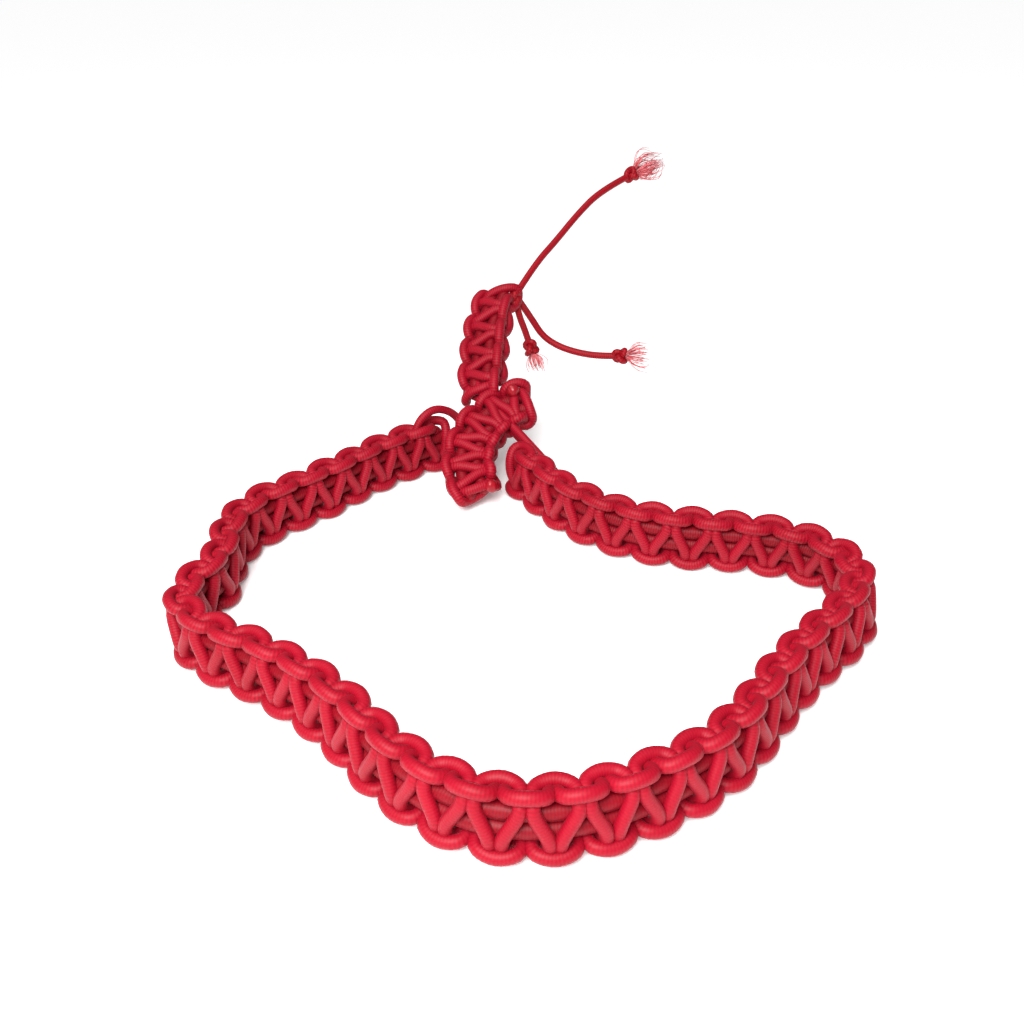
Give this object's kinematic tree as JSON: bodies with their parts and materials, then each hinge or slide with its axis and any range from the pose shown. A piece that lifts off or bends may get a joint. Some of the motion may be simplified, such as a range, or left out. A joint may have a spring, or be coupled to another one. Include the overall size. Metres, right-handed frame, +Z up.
{
  "type": "knotted cord wristband",
  "caption": "Flat square-knot cord wristband, open loop with an end eye, a sliding knot, a knotted tab and frayed cord tails.",
  "frame": {"origin": "centre of the footprint of the band, slider and tab, on the surface it stands on", "axes": "+Z up; the tab points along +Y, away from the wrist opening; +X to the right"},
  "size_m": [0.084, 0.1253, 0.0383],
  "materials": {
    "knotting_cord": "finely ribbed red nylon knotting cord with a satin sheen",
    "melted_cord": "cord end melted to a smooth red bead",
    "frayed_fibre": "loose pinkish red fibres of the frayed cord ends"
  },
  "bodies": {
    "band": {"band_outer_cord": "knotting_cord", "band_inner_cord": "knotting_cord", "core_cord_upper": "knotting_cord", "core_cord_lower": "knotting_cord", "end_loop": "knotting_cord", "bare_core_upper": "knotting_cord", "bare_core_lower": "knotting_cord"},
    "slider": {"slider_face_cord": "knotting_cord", "slider_back_cord": "knotting_cord", "slider_melted_end_lower": "melted_cord", "slider_melted_end_upper": "melted_cord"},
    "tab": {"tab_face_cord": "knotting_cord", "tab_back_cord": "knotting_cord", "tab_core_left": "knotting_cord", "tab_core_right": "knotting_cord", "long_tail": "knotting_cord", "long_tail_knot": "knotting_cord", "long_tail_tuft": "frayed_fibre", "side_tail": "knotting_cord", "side_tail_knot": "knotting_cord", "side_tail_tuft": "frayed_fibre", "short_tail": "knotting_cord", "short_tail_knot": "knotting_cord", "short_tail_tuft": "frayed_fibre"}
  },
  "joints": [
    {"name": "slider_turn", "type": "hinge", "parent": "band", "child": "slider", "pos_m": [-0.00652, 0.03039, 0.0115], "axis": [-0.5865, 0.7272, 0.3566], "range_deg": [0, 60]},
    {"name": "tab_swing", "type": "hinge", "parent": "band", "child": "tab", "pos_m": [-0.00652, 0.03039, 0.0115], "axis": [0.9188, -0.2298, 0.3208], "range_deg": [-15, 40]}
  ]
}
